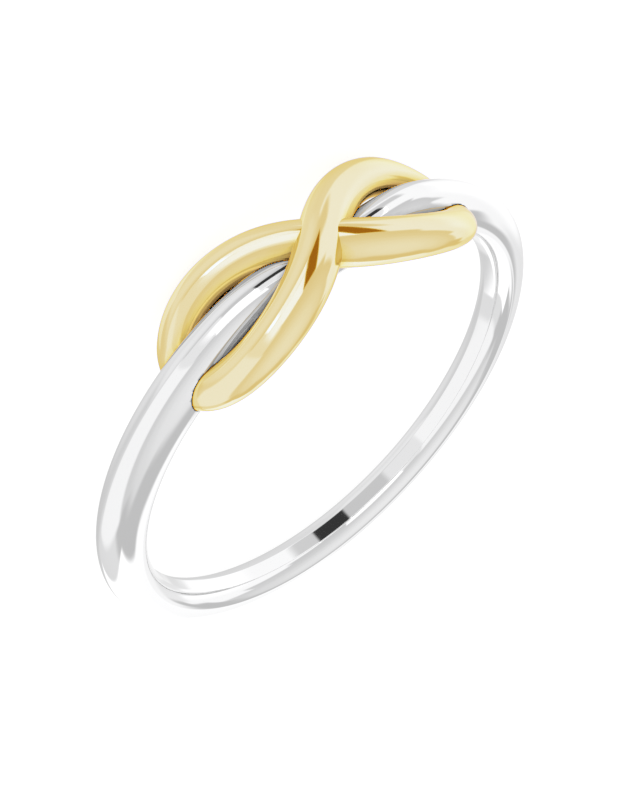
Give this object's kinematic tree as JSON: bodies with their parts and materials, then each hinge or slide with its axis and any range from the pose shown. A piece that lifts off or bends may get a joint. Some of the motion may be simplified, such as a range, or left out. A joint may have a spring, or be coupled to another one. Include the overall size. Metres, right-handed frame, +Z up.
{
  "type": "infinity ring",
  "caption": "Finger ring of a plain polished band laced through a closed figure of eight bent from polished wire, in two metals.",
  "frame": {"origin": "centre of the finger hole, in the middle of the band's width", "axes": "+X points to the crossing of the figure of eight, +Y along the figure's length, +Z up as the ring lies on its side. The finger hole's axis leans 4.61 degrees from +Z towards -X, because the figure is wider than the band."},
  "size_m": [0.021, 0.0206, 0.0046],
  "materials": {
    "white_gold": "polished white gold",
    "yellow_gold": "polished yellow gold"
  },
  "bodies": {
    "root": {"band": "white_gold", "infinity": "yellow_gold"}
  },
  "joints": []
}
